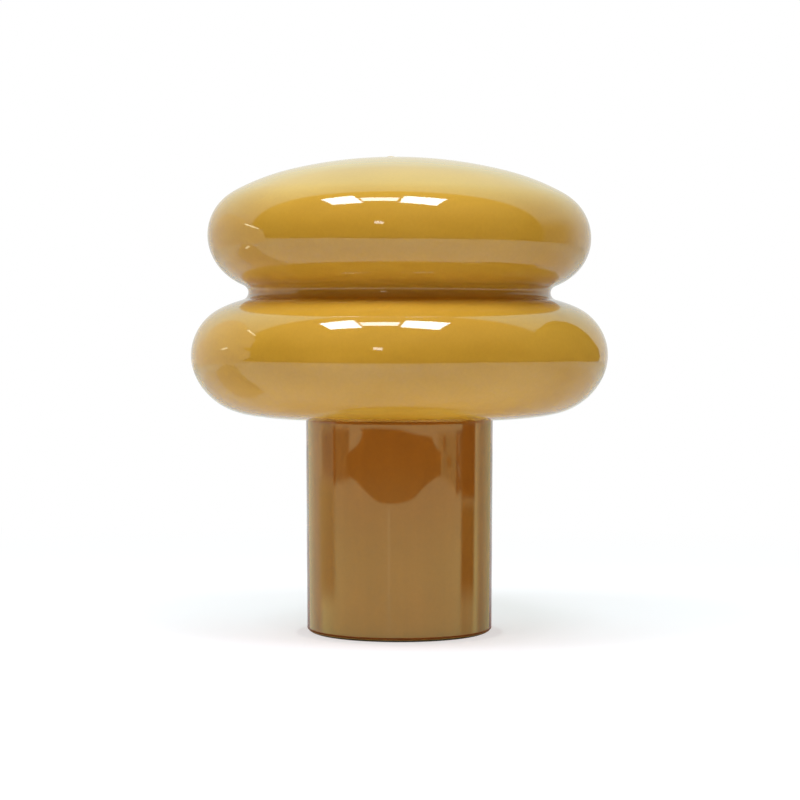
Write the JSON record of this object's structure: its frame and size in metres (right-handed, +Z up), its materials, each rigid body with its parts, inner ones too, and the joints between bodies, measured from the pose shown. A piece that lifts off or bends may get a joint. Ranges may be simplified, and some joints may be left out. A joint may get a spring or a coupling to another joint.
{
  "type": "glass table lamp",
  "caption": "Table lamp of opaque amber glass: a closed shade of two stacked rounded lobes rests on a straight round glass base that holds the bulb.",
  "frame": {"origin": "centre of the underside of the foot, on the table", "axes": "+Z up along the lamp's round axis, -Y towards the front, +Y towards the cord inlet at the back"},
  "size_m": [0.2992, 0.2992, 0.3418],
  "materials": {
    "shade_glass": "gloss",
    "base_glass": "gloss",
    "soft_seal": "matte",
    "foot_foam": "matte",
    "pan_steel": "satin",
    "ballast_iron": "matte",
    "zinc_steel": "satin",
    "gallery_metal": "satin",
    "holder_plastic": "satin",
    "holder_ceramic": "matte",
    "contact_brass": "satin",
    "bulb_cap_metal": "satin",
    "bulb_tin": "satin",
    "bulb_black_glass": "gloss",
    "bulb_clear_glass": "gloss",
    "bulb_wire": "satin",
    "filament": "satin"
  },
  "bodies": {
    "base": {"foot_pad": "foot_foam", "base_pan": "pan_steel", "rim_gasket": "soft_seal", "base_glass": "base_glass", "ballast_weight": "ballast_iron", "stem_rod": "zinc_steel", "rod_lock_washer": "zinc_steel", "rod_foot_nut": "zinc_steel", "ballast_washer": "zinc_steel", "ballast_nut": "zinc_steel", "neck_bush": "holder_plastic", "neck_gasket": "soft_seal", "shade_gallery": "gallery_metal", "gallery_nut": "zinc_steel", "shade_seat_ring": "soft_seal", "holder_cap": "holder_plastic", "holder_core": "holder_ceramic", "holder_screw_shell": "contact_brass", "holder_sleeve": "holder_plastic", "holder_centre_contact": "contact_brass", "holder_terminals": "contact_brass", "terminal_screws": "zinc_steel", "cord_inlet_bush": "holder_plastic", "cord_inlet_nut": "holder_plastic"},
    "shade": {"shade_glass": "shade_glass"},
    "bulb_tip": {"bulb_contact": "bulb_tin", "bulb_insulator": "bulb_black_glass"},
    "bulb": {"bulb_cap": "bulb_cap_metal", "bulb_envelope": "bulb_clear_glass", "bulb_stem": "bulb_clear_glass", "bulb_leads": "bulb_wire", "bulb_filaments": "filament"}
  },
  "joints": [
    {"name": "shade_lift", "type": "slide", "parent": "base", "child": "shade", "axis": [0, 0, 1], "range_m": [0, 0.16]},
    {"name": "bulb_lift", "type": "slide", "parent": "base", "child": "bulb_tip", "axis": [0, 0, 1], "range_m": [0, 0.0128]},
    {"name": "bulb_turn", "type": "hinge", "parent": "bulb_tip", "child": "bulb", "pos_m": [0, 0, 0.18715], "axis": [0, 0, 1], "range_deg": [0, 1260]}
  ],
  "couplings": [
    {"joint": "bulb_lift", "follows": "bulb_turn", "m_per_rad": 0.00057757}
  ]
}
